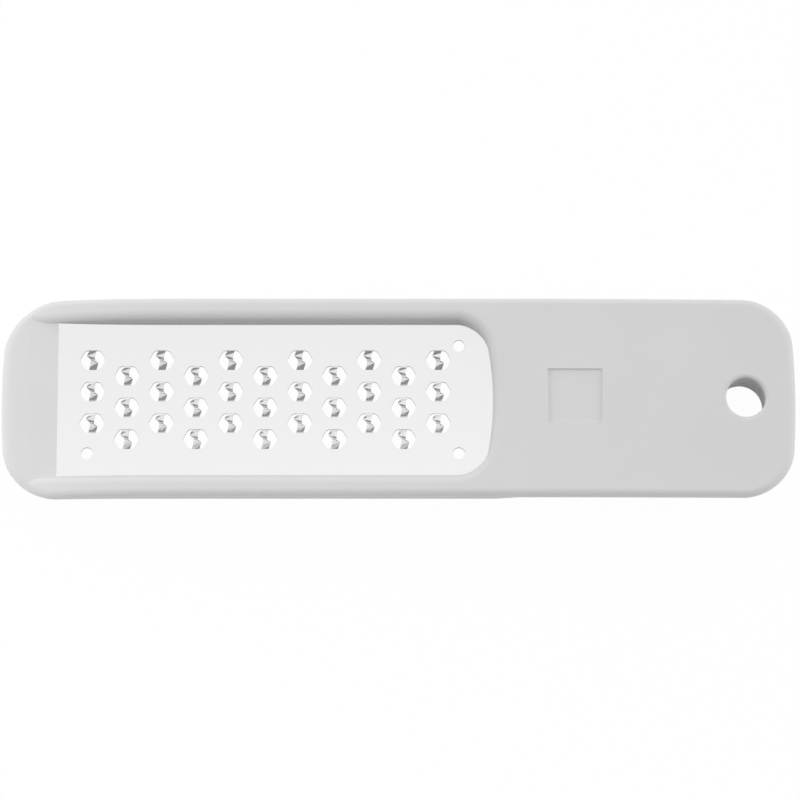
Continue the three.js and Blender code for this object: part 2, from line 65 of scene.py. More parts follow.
HALF_WIDTH = cad_high.y
HEIGHT = cad_high.z
SEAM_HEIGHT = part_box("upper_shell")[0].z
PLATE_FRONT = plate_low.x
PLATE_MARGIN = 0.0017  # held under the rails and the deck
EXPOSED_END = plate_high.x - PLATE_MARGIN
EXPOSED_HALF_WIDTH = plate_high.y - PLATE_MARGIN

# Body
NOSE_CORNER_RADIUS = 0.0104
HANDLE_CORNER_RADIUS = 0.0094
END_BOW = 0.0013
EDGE_RADIUS = 0.0013
END_EDGE_RUN = 0.002  # how far in the upper edge's rounding starts at the two ends
SEAM_GAP = 0.0001
SEAM_SOFTENING = 0.0002  # rounding along both sides of the seam

# Sides: upright for some way below the top, then rounded in to the underside
FRAME_SIDE_DEPTH = 0.0026
FRAME_BELLY_INSET = 0.0055
HANDLE_SIDE_DEPTH = 0.0013
HANDLE_BELLY_INSET = 0.008
SIDE_CHANGE_LENGTH = 0.006

# Nose
NOSE_FALL_ANGLE = math.radians(5)  # from the plate down to the tip
NOSE_TIP_CURVE_LENGTH = 0.005
NOSE_TIP_CURVE_RADIUS = 0.018
RAIL_FALL_START = 0.034  # nose tip to where the rail tops start to fall
RAIL_FALL_LENGTH = 0.03  # they fall as a quarter of an ellipse
RAIL_FALL_DEPTH = 0.007
RAIL_END_BLEND = 0.001  # how softly they run out into the nose
RUN_OUT_SLOPE = 0.015  # how gently the recess comes out of the nose's upper face

# Recess over the plate
PLATE_DEPTH = 0.004
RECESS_WALL_ANGLE = math.radians(5)
RECESS_END_SHARE = 0.77  # how far the wall at the handle spreads, against the side walls
RECESS_EDGE_RADIUS = 0.0019
RECESS_CORNER_RADIUS = 0.0052
RECESS_END_BOW = 0.0022
SEAT_GAP = 0.0002  # round the plate's margin
CLAMP_GAP = 0.00005  # above and below it

# Grating plate
PLATE_THICKNESS = 0.0005
FLANGE_CLEARANCE = 0.0007
FLANGE_SIDE_MARGIN = 0.002
FIRST_COLUMN = 0.007  # the plate's front to the middle of the first openings
COLUMNS = 11
COLUMN_PITCH = 0.006965
ROW_PITCH = 0.0065
ROWS_PER_COLUMN = 3
OPENING_LENGTH = 0.0053
OPENING_WIDTH = 0.004
OPENING_SIDE_ANGLE = math.radians(60)  # of its slanting sides, against the plate's length
OPENING_CORNER_RADIUS = 0.0011
STAMPED_EDGE_RADIUS = 0.00003  # where the sheet rolls into an opening
PILOT_RADIUS = 0.0012
PILOT_SIDE_MARGIN = 0.0047
PILOT_FRONT_MARGIN = 0.0061
PILOT_REAR_MARGIN = 0.0069

# Cutting bridge over each opening
BRIDGE_RISE = 0.00095
BRIDGE_THICKNESS = 0.0004
BRIDGE_EMBED = 0.00005
RAMP_DISH = 0.0002  # how far the middle of each ramp is pressed in

# Window under the plate
WINDOW_SIDE_MARGIN = 0.0014
WINDOW_END_MARGIN = 0.0032
WINDOW_CORNER_RADIUS = 0.004
WINDOW_RIM_RADIUS = 0.0006

# Handle details
HANDLE_CURVE_RADIUS = 1.1  # the deck falls very gently towards the handle end
HANG_SETBACK = 0.01
HANG_RADIUS = 0.004
HANG_FLARE = 0.0006  # how much wider it is at the underside, in radius
HANG_RIM_RADIUS = 0.0008
STAMP_SETBACK = 0.0164
STAMP_SIDE = 0.0112
STAMP_DEPTH = 0.0004
STAMP_DRAFT = 0.0002
STAMP_CORNER_RADIUS = 0.0003

# Fineness of round stretches
CORNER_STEPS = 20
END_STEPS = 10
EDGE_STEPS = 10
SIDE_STEPS = 12
BELLY_STEPS = 16
RAIL_STEPS = 40
NOSE_STEPS = 60
DECK_STEPS = 24
SIDE_CHANGE_STEPS = 16
ROUND_STEPS = 96
RIM_STEPS = 8
SMALL_STEPS = 4
SMOOTH_ANGLE = math.radians(35)
OVERRUN = 0.002  # how far a cutter runs past what it cuts

# Worked out places
PLATE_TOP = HEIGHT - PLATE_DEPTH
PLATE_BOTTOM = PLATE_TOP - PLATE_THICKNESS
LOWER_TOP = SEAM_HEIGHT - SEAM_GAP
HANG_X = HANDLE_END - HANG_SETBACK
HANG_SLOPE = (HANG_X - EXPOSED_END) / HANDLE_CURVE_RADIUS  # how steeply the deck falls there
STAMP_X = EXPOSED_END + STAMP_SETBACK
WALL_LEAN = math.tan(RECESS_WALL_ANGLE)
RAIL_FALL_X = NOSE_TIP + RAIL_FALL_START


class OutlinePoint(NamedTuple):
    """A point of an outline in plan, with the direction that points out of the outline there."""
    x: float
    y: float
    out_x: float
    out_y: float


class Outline(NamedTuple):
    """An anticlockwise outline, and the faces that fill it as lists of point numbers."""
    points: list
    fill: list


class Solid(NamedTuple):
    """A closed surface: its vertices, and its faces as lists of vertex numbers."""
    vertices: list
    faces: list


def spread(start, end, steps):
    return [start + (end - start) * i / steps for i in range(steps + 1)]


def smoothstep(value, start, end):
    share = min(max((value - start) / (end - start), 0), 1)
    return share * share * (3 - 2 * share)


# Outlines in plan

def rectangle(left, near, right, far):
    """Corners of a rectangle, anticlockwise."""
    return [(left, near), (right, near), (right, far), (left, far)]


def long_outline(left, right, side, left_radius, right_radius, left_bow=0.0, right_bow=0.0, stations=()):
    """An outline that is the same on both sides of the X axis. Stations are extra points along its sides.
    A left end without a radius is cut square."""
    def swell(bow, y):
        return bow * (1 - (y / side) ** 2)

    half = []
    right_flat = side - right_radius
    for y in spread(0, right_flat, END_STEPS)[:-1]:
        half.append(OutlinePoint(right - right_bow + swell(right_bow, y), y, 1, 0))
    for angle in spread(0, math.pi / 2, CORNER_STEPS):
        y = right_flat + right_radius * math.sin(angle)
        x = right - right_bow - right_radius * (1 - math.cos(angle)) + swell(right_bow, y)
        half.append(OutlinePoint(x, y, math.cos(angle), math.sin(angle)))
    side_left = left + left_bow + left_radius
    side_right = right - right_bow - right_radius
    for x in sorted(stations, reverse=True):
        if side_left < x < side_right:
            half.append(OutlinePoint(x, side, 0, 1))
    if left_radius == 0:
        half.append(OutlinePoint(left, side, 0, 1))
        half.append(OutlinePoint(left, 0, 0, 0))
    else:
        left_flat = side - left_radius
        for angle in spread(math.pi / 2, math.pi, CORNER_STEPS):
            y = left_flat + left_radius * math.sin(angle)
            x = left + left_bow + left_radius * (1 + math.cos(angle)) - swell(left_bow, y)
            half.append(OutlinePoint(x, y, math.cos(angle), math.sin(angle)))
        for y in spread(left_flat, 0, END_STEPS)[1:]:
            half.append(OutlinePoint(left + left_bow - swell(left_bow, y), y, -1, 0))

    mirrored = [OutlinePoint(p.x, -p.y, p.out_x, -p.out_y) for p in reversed(half[1:-1])]
    count = len(half) + len(mirrored)
    strips = []
    for i in range(len(half) - 1):
        strip = [i, i + 1, (count - i - 1) % count, (count - i) % count]
        strips.append(list(dict.fromkeys(strip)))
    return Outline(half + mirrored, strips)


def rounded_polygon(corners, radius, steps):
    """A convex polygon with rounded corners, from its corner points in anticlockwise order."""
    points = []
    for i, corner in enumerate(corners):
        before = (Vector(corner) - Vector(corners[i - 1])).normalized()
        after = (Vector(corners[(i + 1) % len(corners)]) - Vector(corner)).normalized()
        turn = math.acos(before.dot(after))
        centre = Vector(corner) + (after - before).normalized() * radius / math.cos(turn / 2)
        first = math.atan2(-before.x, before.y)
        for angle in spread(first, first + turn, steps):
            out = Vector((math.cos(angle), math.sin(angle)))
            points.append(OutlinePoint(*(centre + out * radius), *out))
    return Outline(points, [list(range(len(points)))])


def circle(x, y, radius):
    points = []
    for step in range(ROUND_STEPS):
        angle = 2 * math.pi * step / ROUND_STEPS
        out = (math.cos(angle), math.sin(angle))
        points.append(OutlinePoint(x + radius * out[0], y + radius * out[1], *out))
    return Outline(points, [list(range(ROUND_STEPS))])


# Solids

def loft(outline, levels, place):
    """Copies of an outline stacked from the lowest level up. place gives a point's height and inset."""
    count = len(outline.points)
    vertices = []
    for level in levels:
        for point in outline.points:
            z, inset = place(point, level)
            vertices.append((point.x - inset * point.out_x, point.y - inset * point.out_y, z))
    faces = []
    for low in range(0, count * (len(levels) - 1), count):
        for i in range(count):
            following = (i + 1) % count
            faces.append([low + i, low + following, low + count + following, low + count + i])
    top = count * (len(levels) - 1)
    for face in outline.fill:
        faces.append([top + i for i in face])
        faces.append(list(reversed(face)))
    return Solid(vertices, faces)


def straight_loft(outline, levels):
    """A loft whose levels are pairs of a height and an inset."""
    return loft(outline, levels, lambda point, level: level)


def prism(outline, low, high):
    return straight_loft(outline, [(low, 0), (high, 0)])


def block(low, high):
    corners = rectangle(low[0], low[1], high[0], high[1])
    outline = Outline([OutlinePoint(x, y, 0, 0) for x, y in corners], [[0, 1, 2, 3]])
    return prism(outline, low[2], high[2])


def moved(solid, offset):
    return Solid([tuple(Vector(v) + Vector(offset)) for v in solid.vertices], solid.faces)


def gathered(solids):
    """Separate solids as one."""
    vertices = []
    faces = []
    for solid in solids:
        first = len(vertices)
        vertices += solid.vertices
        faces += [[first + i for i in face] for face in solid.faces]
    return Solid(vertices, faces)


def as_object(name, solid):
    mesh = bpy.data.meshes.new(name)
    mesh.from_pydata(solid.vertices, [], solid.faces)
    mesh.update()
    piece = bpy.data.objects.new(name, mesh)
    bpy.context.scene.collection.objects.link(piece)
    return piece


def as_solid(piece):
    """Takes a piece's mesh back as a solid. The piece goes with its mesh."""
    vertices = [tuple(v.co) for v in piece.data.vertices]
    faces = [list(face.vertices) for face in piece.data.polygons]
    bpy.data.meshes.remove(piece.data)
    return Solid(vertices, faces)


def combine(piece, solid, operation):
    """Joins a solid to a piece or cuts it out, and keeps the result as the piece's mesh."""
    tool = as_object("tool", solid)
    modifier = piece.modifiers.new("combine", "BOOLEAN")
    modifier.operation = operation
    modifier.solver = "MANIFOLD"
    modifier.object = tool
    graph = bpy.context.evaluated_depsgraph_get()
    result = bpy.data.meshes.new_from_object(piece.evaluated_get(graph))
    piece.modifiers.remove(modifier)
    bpy.data.meshes.remove(tool.data)
    old_mesh = piece.data
    piece.data = result
    bpy.data.meshes.remove(old_mesh)


def cut(piece, solid):
    combine(piece, solid, "DIFFERENCE")


def join(piece, solid):
    combine(piece, solid, "UNION")


# The body's form

def floor_height(x):
    """The floor between the rails at x: level along the plate, then falling over the nose."""
    run = max(0, PLATE_FRONT - x)
    tip_run = max(0, NOSE_TIP + NOSE_TIP_CURVE_LENGTH - x)
    return PLATE_TOP - run * math.tan(NOSE_FALL_ANGLE) - tip_run * tip_run / (2 * NOSE_TIP_CURVE_RADIUS)


def top_height(x):
    """The body's top at x: the deck and the rails, which run out into the nose's upper face."""
    deck_run = max(0, x - EXPOSED_END)
    rail_share = min(max((RAIL_FALL_X - x) / RAIL_FALL_LENGTH, 0), 1)
    rail_fall = RAIL_FALL_DEPTH * (1 - math.sqrt(1 - rail_share * rail_share))
    rail = HEIGHT - deck_run * deck_run / (2 * HANDLE_CURVE_RADIUS) - rail_fall
    floor = floor_height(x)
    near = max(0, RAIL_END_BLEND - abs(rail - floor)) / RAIL_END_BLEND
    return max(rail, floor) + near * near * RAIL_END_BLEND / 4


def belly_inset(z, side_depth, full_inset):
    """How far a side that is upright down to side_depth has rounded in at height z."""
    round_start = HEIGHT - side_depth
    fall = min(max((round_start - z) / round_start, 0), 1)
    return full_inset * (1 - math.sqrt(1 - fall * fall))


def side_inset(x, z):
    """The frame's side at height z, turning into the handle's behind the plate."""
    frame_side = belly_inset(z, FRAME_SIDE_DEPTH, FRAME_BELLY_INSET)
    handle_side = belly_inset(z, HANDLE_SIDE_DEPTH, HANDLE_BELLY_INSET)
    share = smoothstep(x, EXPOSED_END, EXPOSED_END + SIDE_CHANGE_LENGTH)
    return frame_side + (handle_side - frame_side) * share


def body_outline():
    side_change_end = EXPOSED_END + SIDE_CHANGE_LENGTH
    stations = spread(RAIL_FALL_X, NOSE_TIP + NOSE_CORNER_RADIUS + END_BOW, RAIL_STEPS)
    stations += spread(EXPOSED_END, side_change_end, SIDE_CHANGE_STEPS)
    stations += spread(side_change_end, HANDLE_END - HANDLE_CORNER_RADIUS - END_BOW, DECK_STEPS)[1:]
    return long_outline(
        NOSE_TIP, HANDLE_END, HALF_WIDTH, NOSE_CORNER_RADIUS, HANDLE_CORNER_RADIUS,
        left_bow=END_BOW, right_bow=END_BOW, stations=stations,
    )


def recess_outline(left, margin, stations=()):
    """The plate's exposed outline, grown by a margin."""
    return long_outline(
        left, EXPOSED_END + margin, EXPOSED_HALF_WIDTH + margin, 0, RECESS_CORNER_RADIUS + margin,
        right_bow=RECESS_END_BOW, stations=stations,
    )


def upper_outside():
    """Sides that are squeezed under the falling top, and a rounded upper edge."""
    levels = []
    for angle in spread(0, math.pi / 2, SMALL_STEPS):
        z = SEAM_HEIGHT + SEAM_SOFTENING * (1 - math.cos(angle))
        levels.append((z, SEAM_SOFTENING * (1 - math.sin(angle))))
    edge_start = HEIGHT - EDGE_RADIUS
    levels += [(z, 0) for z in spread(SEAM_HEIGHT + SEAM_SOFTENING, edge_start, SIDE_STEPS)[1:]]
    for angle in spread(0, math.pi / 2, EDGE_STEPS)[1:]:
        levels.append((edge_start + EDGE_RADIUS * math.sin(angle), EDGE_RADIUS * (1 - math.cos(angle))))

    def place(point, level):
        z, edge = level
        edge_share = 1 + (END_EDGE_RUN / EDGE_RADIUS - 1) * point.out_x * point.out_x
        inset = edge * edge_share + side_inset(point.x, z)
        fall = HEIGHT - top_height(point.x - inset * point.out_x)
        fall_share = min(1, (z - SEAM_HEIGHT) / (edge_start - SEAM_HEIGHT))
        return z - fall * fall_share, inset

    return loft(body_outline(), levels, place)


def lower_outside():
    """The rounded belly, finest where it turns under, with a softened edge at the seam."""
    softening_start = LOWER_TOP - SEAM_SOFTENING
    levels = [(softening_start * share * share, 0) for share in spread(0, 1, BELLY_STEPS)]
    for angle in spread(0, math.pi / 2, SMALL_STEPS)[1:]:
        z = softening_start + SEAM_SOFTENING * math.sin(angle)
        levels.append((z, SEAM_SOFTENING * (1 - math.cos(angle))))

    def place(point, level):
        z, edge = level
        return z, edge + side_inset(point.x, z)

    return loft(body_outline(), levels, place)


def recess_walls():
    """The space between the leaning walls, with a rounded upper edge, open at the nose."""
    turn = math.pi / 2 - RECESS_WALL_ANGLE
    edge_outset = PLATE_DEPTH * WALL_LEAN + RECESS_EDGE_RADIUS * math.tan(turn / 2)
    levels = [(SEAM_HEIGHT, (SEAM_HEIGHT - PLATE_TOP) * WALL_LEAN)]
    for angle in spread(RECESS_WALL_ANGLE, math.pi / 2, EDGE_STEPS):
        z = HEIGHT - RECESS_EDGE_RADIUS * (1 - math.sin(angle))
        levels.append((z, edge_outset - RECESS_EDGE_RADIUS * math.cos(angle)))
    levels.append((HEIGHT + OVERRUN, edge_outset))

    def place(point, level):
        z, outset = level
        fall = HEIGHT - top_height(point.x)
        end_share = 1 - (1 - RECESS_END_SHARE) * point.out_x * point.out_x
        return z - fall, (fall * WALL_LEAN - outset) * end_share

    stations = spread(RAIL_FALL_X, PLATE_FRONT, RAIL_STEPS) + spread(PLATE_FRONT, NOSE_TIP, NOSE_STEPS)[1:]
    return loft(recess_outline(NOSE_TIP - OVERRUN, 0, stations), levels, place)


def recess_floor():
    """All that lies under the recess: level along the plate, then coming out of the nose's upper face."""
    side = [(EXPOSED_END + HALF_WIDTH, -OVERRUN), (EXPOSED_END + HALF_WIDTH, PLATE_TOP)]
    for x in spread(PLATE_FRONT, NOSE_TIP - 2 * OVERRUN, 2 * NOSE_STEPS):
        side.append((x, floor_height(x) + (PLATE_FRONT - x) * RUN_OUT_SLOPE))
    side.append((NOSE_TIP - 2 * OVERRUN, -OVERRUN))
    count = len(side)
    vertices = [(x, y, z) for y in (-2 * HALF_WIDTH, 2 * HALF_WIDTH) for x, z in side]
    faces = [list(range(count)), list(range(2 * count - 1, count - 1, -1))]
    for i in range(count):
        following = (i + 1) % count
        faces.append([i, count + i, count + following, following])
    return Solid(vertices, faces)


def hanging_hole():
    """Square to the falling deck, rounded at both rims and wider at the underside."""
    levels = [(-OVERRUN, -HANG_FLARE - HANG_RIM_RADIUS)]
    for angle in spread(math.pi / 2, 0, RIM_STEPS):
        z = HANG_RIM_RADIUS * (1 - math.sin(angle))
        levels.append((z, -HANG_FLARE - HANG_RIM_RADIUS * (1 - math.cos(angle))))
    for angle in spread(0, math.pi / 2, RIM_STEPS):
        z = HEIGHT - HANG_RIM_RADIUS * (1 - math.sin(angle))
        levels.append((z, -HANG_RIM_RADIUS * (1 - math.cos(angle))))
    levels.append((HEIGHT + OVERRUN, -HANG_RIM_RADIUS))

    def place(point, level):
        z, inset = level
        fall = HEIGHT - top_height(point.x)
        return z - fall * max(0, z / HEIGHT), inset

    upright = loft(circle(HANG_X, 0, HANG_RADIUS), levels, place)
    deck = top_height(HANG_X)
    return Solid([(x + (z - deck) * HANG_SLOPE, y, z) for x, y, z in upright.vertices], upright.faces)


def stamp_space():
    """The shallow bare square recess in the deck."""
    half = STAMP_SIDE / 2
    corners = rectangle(STAMP_X - half, -half, STAMP_X + half, half)
    outline = rounded_polygon(corners, STAMP_CORNER_RADIUS, SMALL_STEPS)
    levels = [(-STAMP_DEPTH, STAMP_DRAFT), (0, 0), (OVERRUN, 0)]
    return loft(outline, levels, lambda point, level: (top_height(point.x) + level[0], level[1]))


def upper_shell():
    shell = as_object("upper_shell_moulding", upper_outside())
    recess = as_object("recess", recess_walls())
    cut(recess, recess_floor())
    cut(shell, as_solid(recess))
    seat = recess_outline(PLATE_FRONT, PLATE_MARGIN + SEAT_GAP)
    cut(shell, prism(seat, SEAM_HEIGHT - OVERRUN, PLATE_TOP + CLAMP_GAP))
    cut(shell, hanging_hole())
    cut(shell, stamp_space())
    return shell


def lower_shell():
    shell = as_object("lower_shell_moulding", lower_outside())
    plinth = recess_outline(PLATE_FRONT + PLATE_THICKNESS + SEAT_GAP, PLATE_MARGIN)
    plinth_root = LOWER_TOP / 2
    join(shell, prism(plinth, plinth_root, PLATE_BOTTOM - CLAMP_GAP))
    window = long_outline(
        PLATE_FRONT + WINDOW_END_MARGIN, EXPOSED_END - WINDOW_END_MARGIN,
        EXPOSED_HALF_WIDTH - WINDOW_SIDE_MARGIN,
        WINDOW_CORNER_RADIUS, WINDOW_CORNER_RADIUS,
    )
    levels = [(-OVERRUN, -WINDOW_RIM_RADIUS)]
    for angle in spread(math.pi / 2, 0, SMALL_STEPS):
        z = WINDOW_RIM_RADIUS * (1 - math.sin(angle))
        levels.append((z, -WINDOW_RIM_RADIUS * (1 - math.cos(angle))))
    levels.append((HEIGHT, 0))
    cut(shell, straight_loft(window, levels))
    cut(shell, hanging_hole())
    return shell


# The grating plate

class EdgePoint(NamedTuple):
    """A point on one edge of the bridge."""
    x: float
    along: float  # share of half the opening's width
    rise: float  # share of BRIDGE_RISE


# Pairs on the left and the right edge, from the opening's edge to the middle.
# The other half is the same, turned half round.
HALF_BRIDGE = [
    (EdgePoint(-0.0007, 1.12, 0), EdgePoint(0.00075, 1.12, 0)),
    (EdgePoint(-0.0007, 1, 0), EdgePoint(0.00075, 1, 0)),
    (EdgePoint(-0.00115, 0.39, 1), EdgePoint(0.0005, 0.66, 0.7)),
    (EdgePoint(-0.00112, 0.35, 0.98), EdgePoint(0.0004, 0.2, 0.6)),
    (EdgePoint(-0.00042, 0.08, 0.32), EdgePoint(0.00045, 0.07, 0.5)),
]
RAMP_PAIR = 1  # the ramp runs from this pair to the next

# Corners of the bridge's section at each pair, in the order that cutting_bridge lists them
SECTION_CORNERS = 4
UPPER_SIDE = 0  # from the left to the right upper corner
LOWER_SIDE = 2


def cutting_bridge():
    """One S-shaped bridge over an opening at the origin, with its ends sunk just below z = 0."""
    def turned(point):
        return EdgePoint(-point.x, -point.along, point.rise)

    def at_depth(point, depth):
        return point.x, point.along * OPENING_WIDTH / 2, point.rise * BRIDGE_RISE - BRIDGE_EMBED - depth

    other_half = [(turned(right), turned(left)) for left, right in reversed(HALF_BRIDGE)]
    vertices = []
    for left, right in HALF_BRIDGE + other_half:
        vertices += [at_depth(left, 0), at_depth(right, 0)]
        vertices += [at_depth(right, BRIDGE_THICKNESS), at_depth(left, BRIDGE_THICKNESS)]
    last = len(vertices) - SECTION_CORNERS
    ramps = (SECTION_CORNERS * RAMP_PAIR, last - SECTION_CORNERS * (RAMP_PAIR + 1))
    faces = [list(range(SECTION_CORNERS))]
    # Away from the dished ramps, the upper and the lower face are folded along the same diagonals,
    # so that the sheet keeps its thickness
    for section in range(0, last, SECTION_CORNERS):
        for side in range(SECTION_CORNERS):
            start = section + side
            end = section + (side + 1) % SECTION_CORNERS
            next_start = start + SECTION_CORNERS
            next_end = end + SECTION_CORNERS
            if side == UPPER_SIDE and section in ramps:
                corners = [start, next_start, next_end, end]
                middle = sum((Vector(vertices[corner]) for corner in corners), Vector()) / len(corners)
                for i, corner in enumerate(corners):
                    faces.append([corners[i - 1], corner, len(vertices)])
                vertices.append((middle.x, middle.y, middle.z - RAMP_DISH))
            elif side == LOWER_SIDE:
                faces += [[start, next_start, next_end], [start, next_end, end]]
            else:
                faces += [[start, next_start, end], [end, next_start, next_end]]
    faces.append([last + corner for corner in reversed(range(SECTION_CORNERS))])
    return Solid(vertices, faces)


def opening_places():
    """Middles of the openings: neighbouring columns are half a row apart."""
    places = []
    for column in range(COLUMNS):
        stagger = ROW_PITCH / 4 if column % 2 == 0 else -ROW_PITCH / 4
        for row in range(ROWS_PER_COLUMN):
            y = stagger + ((ROWS_PER_COLUMN - 1) / 2 - row) * ROW_PITCH
            places.append((PLATE_FRONT + FIRST_COLUMN + column * COLUMN_PITCH, y, 0))
    return places


def stamped_hole(outline):
    """A hole through the sheet whose upper edge is rolled in."""
    levels = [(PLATE_BOTTOM - OVERRUN, 0)]
    for angle in spread(0, math.pi / 2, SMALL_STEPS):
        z = PLATE_TOP - STAMPED_EDGE_RADIUS * (1 - math.sin(angle))
        levels.append((z, -STAMPED_EDGE_RADIUS * (1 - math.cos(angle))))
    levels.append((PLATE_TOP + OVERRUN, -STAMPED_EDGE_RADIUS))
    return straight_loft(outline, levels)


def opening():
    half_length = OPENING_LENGTH / 2
    half_width = OPENING_WIDTH / 2
    flat_end = half_length - half_width / math.tan(OPENING_SIDE_ANGLE)
    corners = [
        (half_length, 0), (flat_end, half_width), (-flat_end, half_width),
        (-half_length, 0), (-flat_end, -half_width), (flat_end, -half_width),
    ]
    return stamped_hole(rounded_polygon(corners, OPENING_CORNER_RADIUS, SMALL_STEPS))


def grating_plate():
    sheet = recess_outline(PLATE_FRONT, PLATE_MARGIN)
    plate = as_object("grating_plate_sheet", prism(sheet, PLATE_BOTTOM, PLATE_TOP))
    flange_half = EXPOSED_HALF_WIDTH + PLATE_MARGIN - FLANGE_SIDE_MARGIN
    flange_low = (PLATE_FRONT, -flange_half, SEAM_HEIGHT + FLANGE_CLEARANCE)
    flange_high = (PLATE_FRONT + PLATE_THICKNESS, flange_half, PLATE_TOP)
    join(plate, block(flange_low, flange_high))
    pilot_y = EXPOSED_HALF_WIDTH - PILOT_SIDE_MARGIN
    front_x = PLATE_FRONT + PILOT_FRONT_MARGIN
    rear_x = EXPOSED_END - PILOT_REAR_MARGIN
    pilots = [(front_x, -pilot_y), (rear_x, pilot_y), (rear_x, -pilot_y)]
    holes = [stamped_hole(circle(x, y, PILOT_RADIUS)) for x, y in pilots]
    holes += [moved(opening(), place) for place in opening_places()]
    cut(plate, gathered(holes))
    bridge = moved(cutting_bridge(), (0, 0, PLATE_TOP))
    join(plate, gathered(moved(bridge, place) for place in opening_places()))
    return plate


# Finishes

# Moulded plastic
PLASTIC_DARK = (0.635, 0.635, 0.635, 1)
PLASTIC_LIGHT = (0.665, 0.665, 0.665, 1)
PLASTIC_SPECULAR = 0.35
PLASTIC_LEAST_ROUGH = 0.48
PLASTIC_MOST_ROUGH = 0.62
CLOUD_SCALE = 60
CLOUD_DETAIL = 3
MOULD_GRAIN_SCALE = 3500
MOULD_GRAIN_DETAIL = 2
MOULD_GRAIN_STRENGTH = 0.12
MOULD_GRAIN_DEPTH = 0.00004

# Sheet steel
STEEL_DARK = (0.84, 0.84, 0.837, 1)
STEEL_LIGHT = (0.92, 0.92, 0.916, 1)
STEEL_PAINTED_REFLECTION_SHARE = 0.75  # of its tone, from a painted reflection that is paler towards -Y across the plate; the rolled grain gives the rest
STEEL_LEAST_ROUGH = 0.05
STEEL_MOST_ROUGH = 0.1
ROLLED_GRAIN_STRETCH = (60, 2500, 2500)  # changes least along X
ROLLED_GRAIN_SCALE = 1
ROLLED_GRAIN_DETAIL = 3
ROLLED_GRAIN_STRENGTH = 0.02
ROLLED_GRAIN_DEPTH = 0.00002
SHEARED_AND_PAINTED_SHADE_COLOUR = (0.3, 0.3, 0.3, 1)  # the cut edges of the sheet are duller than its faces, and darker still as painted shade round the openings
SHEARED_ROUGHNESS = 0.5
SHEARED_AND_SHADED_FACING = 0.3  # a face whose normal is no more upright than this is a cut edge, with its painted shade
ROLLED_FACING = 0.6  # and one that is more upright than this is wholly a rolled face


def feed(tree, socket, value):
    """Links a node's input to another node's output, or sets it to a plain value."""
    if isinstance(value, bpy.types.NodeSocket):
        tree.links.new(value, socket)
    else:
        socket.default_value = value


def add_step(tree, operation, first, second=0):
    """One arithmetic step on two numbers, each of them plain or another node's output."""
    step = tree.nodes.new("ShaderNodeMath")
    step.operation = operation
    feed(tree, step.inputs[0], first)
    feed(tree, step.inputs[1], second)
    return step.outputs["Value"]


def add_mix(tree, share, first, second, kind="FLOAT"):
    """A number or a colour between two others: the first at a share of 0, the second at 1."""
    mix = tree.nodes.new("ShaderNodeMix")
    mix.data_type = kind
    feed(tree, mix.inputs["Factor"], share)
    feed(tree, mix.inputs["A"], first)
    feed(tree, mix.inputs["B"], second)
    return mix.outputs["Result"]


def add_share(tree, value, start, end, interpolation="LINEAR"):
    """How far a value has come from start to end, from 0 to 1."""
    share = tree.nodes.new("ShaderNodeMapRange")
    share.interpolation_type = interpolation
    feed(tree, share.inputs["Value"], value)
    feed(tree, share.inputs["From Min"], start)
    feed(tree, share.inputs["From Max"], end)
    return share.outputs["Result"]


def add_parts(tree, vector):
    """The parts of a vector, under the names of their axes."""
    split = tree.nodes.new("ShaderNodeSeparateXYZ")
    feed(tree, split.inputs["Vector"], vector)
    return split.outputs


def add_noise(tree, place, scale, detail):
    noise = tree.nodes.new("ShaderNodeTexNoise")
    feed(tree, noise.inputs["Vector"], place)
    feed(tree, noise.inputs["Scale"], scale)
    feed(tree, noise.inputs["Detail"], detail)
    return noise.outputs["Fac"]


def add_bump(tree, height, strength, depth):
    bump = tree.nodes.new("ShaderNodeBump")
    feed(tree, bump.inputs["Height"], height)
    feed(tree, bump.inputs["Strength"], strength)
    feed(tree, bump.inputs["Distance"], depth)
    return bump.outputs["Normal"]


def new_finish(name):
    """A material that has only a Principled shader so far."""
    material = bpy.data.materials.new(name)
    material.use_nodes = True
    return material


def moulded_plastic():
    """Light grey plastic with a fine moulded grain and a faint cloudiness."""
    material = new_finish("moulded_plastic")
    tree = material.node_tree
    place = tree.nodes.new("ShaderNodeTexCoord").outputs["Object"]
    clouds = add_noise(tree, place, CLOUD_SCALE, CLOUD_DETAIL)
    colour = add_mix(tree, clouds, PLASTIC_DARK, PLASTIC_LIGHT, "RGBA")
    grain = add_noise(tree, place, MOULD_GRAIN_SCALE, MOULD_GRAIN_DETAIL)
    roughness = add_mix(tree, grain, PLASTIC_LEAST_ROUGH, PLASTIC_MOST_ROUGH)
    normal = add_bump(tree, grain, MOULD_GRAIN_STRENGTH, MOULD_GRAIN_DEPTH)

    shader = tree.nodes["Principled BSDF"]
    feed(tree, shader.inputs["Specular IOR Level"], PLASTIC_SPECULAR)
    feed(tree, shader.inputs["Base Color"], colour)
    feed(tree, shader.inputs["Roughness"], roughness)
    feed(tree, shader.inputs["Normal"], normal)
    return material


